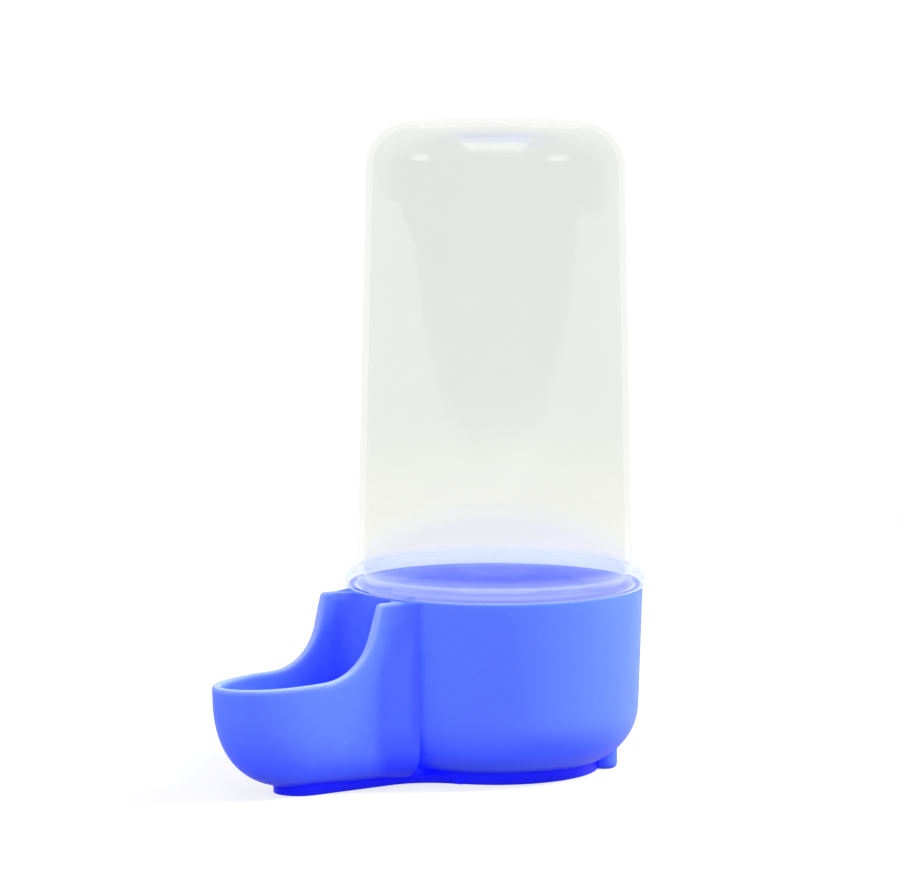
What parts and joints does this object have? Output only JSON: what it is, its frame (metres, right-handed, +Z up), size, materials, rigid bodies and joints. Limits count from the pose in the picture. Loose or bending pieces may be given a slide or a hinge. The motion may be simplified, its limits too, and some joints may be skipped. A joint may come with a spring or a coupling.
{
  "type": "bird waterer",
  "caption": "Siphon waterer for cage birds: a clear upright reservoir stands mouth down in a blue moulded cup whose waisted neck carries a scoop-shaped drinking trough.",
  "frame": {"origin": "on the table, midway along the part's length and width", "axes": "+Z up along the reservoir; -Y out of the cup along the trough to its lip; +X across the trough"},
  "size_m": [0.0562, 0.0894, 0.1208],
  "materials": {
    "base_plastic": "satin moulded, slightly translucent",
    "clear_plastic": "clear, polished mould"
  },
  "bodies": {
    "base": {"base": "base_plastic"},
    "reservoir": {"reservoir": "clear_plastic"}
  },
  "joints": [
    {"name": "reservoir_lift", "type": "slide", "parent": "base", "child": "reservoir", "axis": [0, 0, 1], "range_m": [0, 0.05]}
  ]
}
